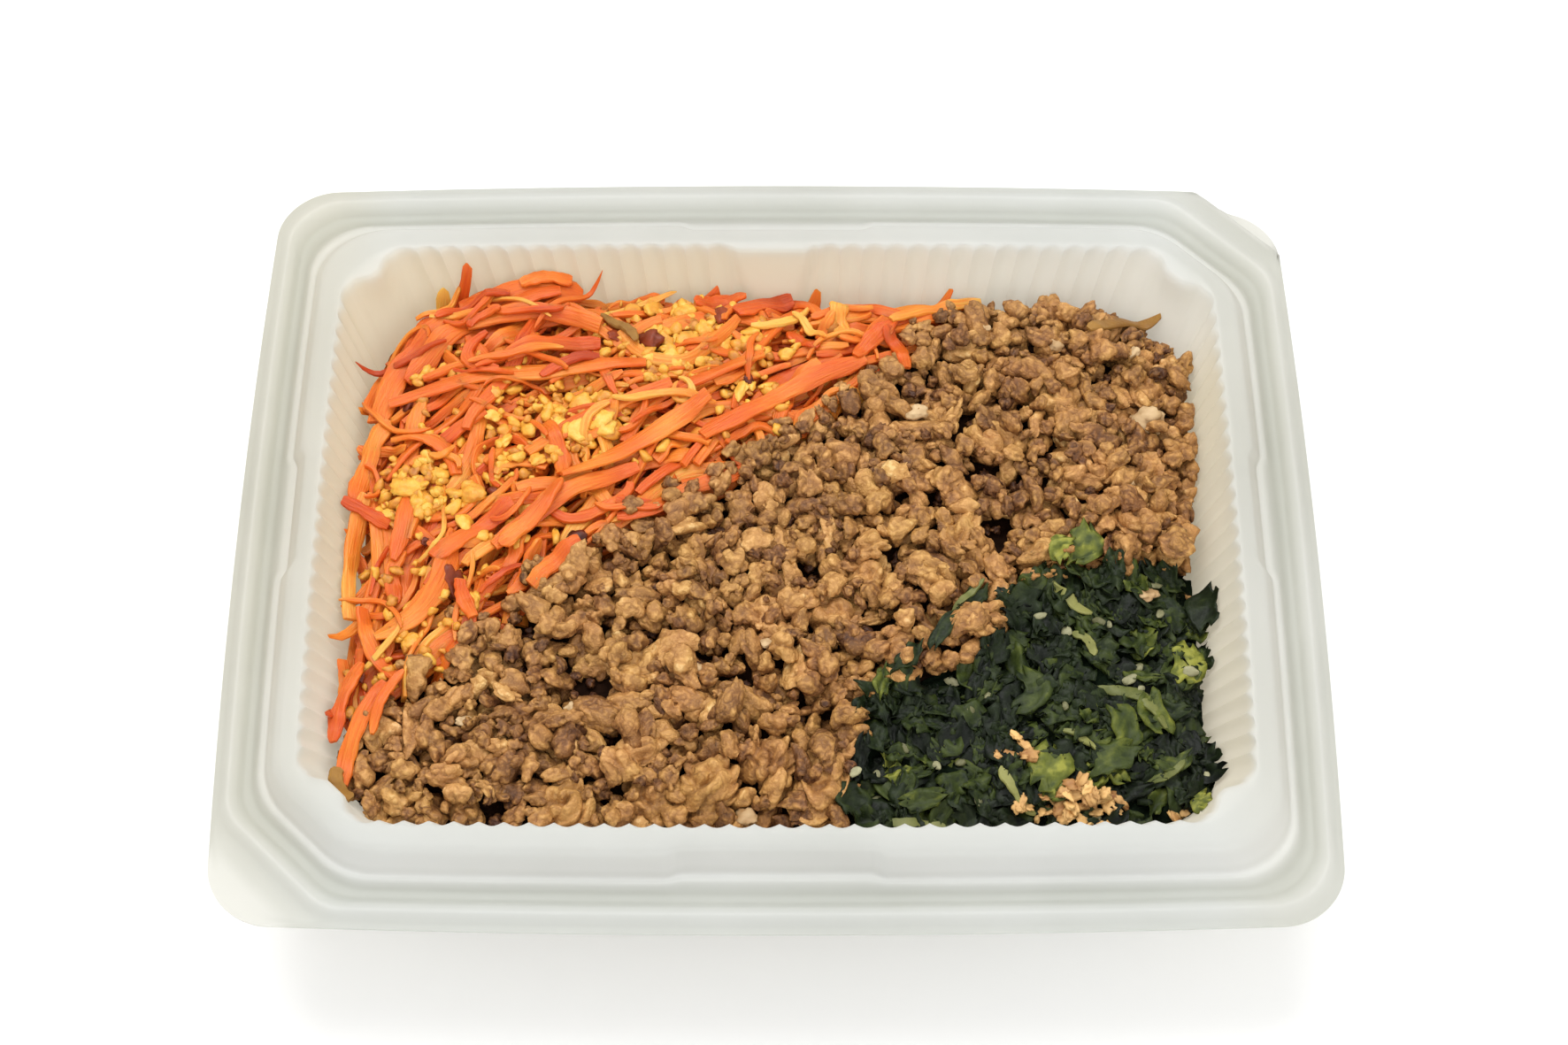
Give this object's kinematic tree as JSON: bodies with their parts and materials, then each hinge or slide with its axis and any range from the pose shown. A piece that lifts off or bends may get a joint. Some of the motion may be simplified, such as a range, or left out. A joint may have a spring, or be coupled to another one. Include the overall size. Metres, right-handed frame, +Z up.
{
  "type": "boxed meal",
  "caption": "Takeaway meal in an open ribbed plastic tray: carrot salad, browned minced meat and chopped greens in diagonal bands, level with the wall's ribs.",
  "frame": {"origin": "under the middle of the tray, on the surface that it stands on", "axes": "+X along the tray's long side, +Y along its short side away from the viewer, +Z up"},
  "size_m": [0.199, 0.1616, 0.036],
  "materials": {
    "milky_plastic": "thin translucent milky plastic, softly glossy",
    "carrot": "moist shredded carrot, glossy",
    "browned_meat": "crumbly fried meat, slightly greasy",
    "chopped_greens": "moist dark cooked leaves, glossy in spots"
  },
  "bodies": {
    "root": {"tray": "milky_plastic", "carrot_salad": "carrot", "minced_meat": "browned_meat", "greens": "chopped_greens"}
  },
  "joints": []
}
